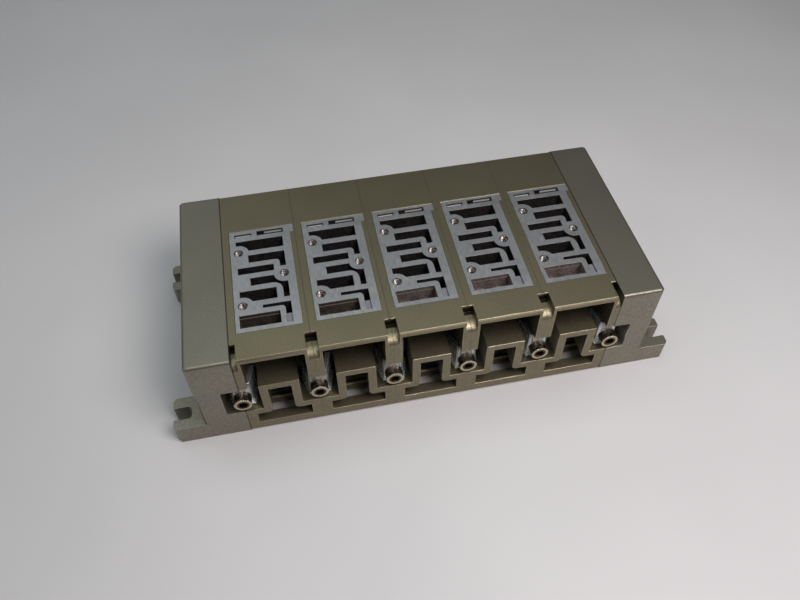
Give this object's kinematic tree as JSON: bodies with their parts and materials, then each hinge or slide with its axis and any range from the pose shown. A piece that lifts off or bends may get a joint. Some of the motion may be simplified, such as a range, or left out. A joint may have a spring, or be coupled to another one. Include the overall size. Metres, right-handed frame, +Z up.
{
  "type": "valve manifold base",
  "caption": "Stacking manifold base for pneumatic valves, without its valves: station blocks with milled port faces between two footed end plates, drawn together by wedge clamps.",
  "frame": {"origin": "centre of the overall box on the surface that the row is bolted to", "axes": "+X along the row of stations, +Y from the clamp screws' heads to the cylinder ports, +Z up from the feet"},
  "size_m": [0.257, 0.11, 0.06],
  "materials": {
    "block_casting": "sand-textured metallic paint over die-cast aluminium, machined faces bare",
    "end_plate_casting": "sand-textured metallic paint over die-cast aluminium",
    "gasket_rubber": "matt",
    "clamp_zinc": "zinc plated",
    "screw_steel": "dark phosphated, worn bright at the rim"
  },
  "bodies": {
    "root": {"left_end_plate": "end_plate_casting", "right_end_plate": "end_plate_casting", "station_block_1": "block_casting", "station_block_2": "block_casting", "station_block_3": "block_casting", "station_block_4": "block_casting", "station_block_5": "block_casting", "seam_gasket_1": "gasket_rubber", "seam_gasket_2": "gasket_rubber", "seam_gasket_3": "gasket_rubber", "seam_gasket_4": "gasket_rubber", "seam_gasket_5": "gasket_rubber", "seam_gasket_6": "gasket_rubber", "front_clamp_1": "clamp_zinc", "front_clamp_2": "clamp_zinc", "front_clamp_3": "clamp_zinc", "front_clamp_4": "clamp_zinc", "front_clamp_5": "clamp_zinc", "front_clamp_6": "clamp_zinc", "rear_clamp_1": "clamp_zinc", "rear_clamp_2": "clamp_zinc", "rear_clamp_3": "clamp_zinc", "rear_clamp_4": "clamp_zinc", "rear_clamp_5": "clamp_zinc", "rear_clamp_6": "clamp_zinc", "clamp_screw_1": "screw_steel", "clamp_screw_2": "screw_steel", "clamp_screw_3": "screw_steel", "clamp_screw_4": "screw_steel", "clamp_screw_5": "screw_steel", "clamp_screw_6": "screw_steel"}
  },
  "joints": []
}
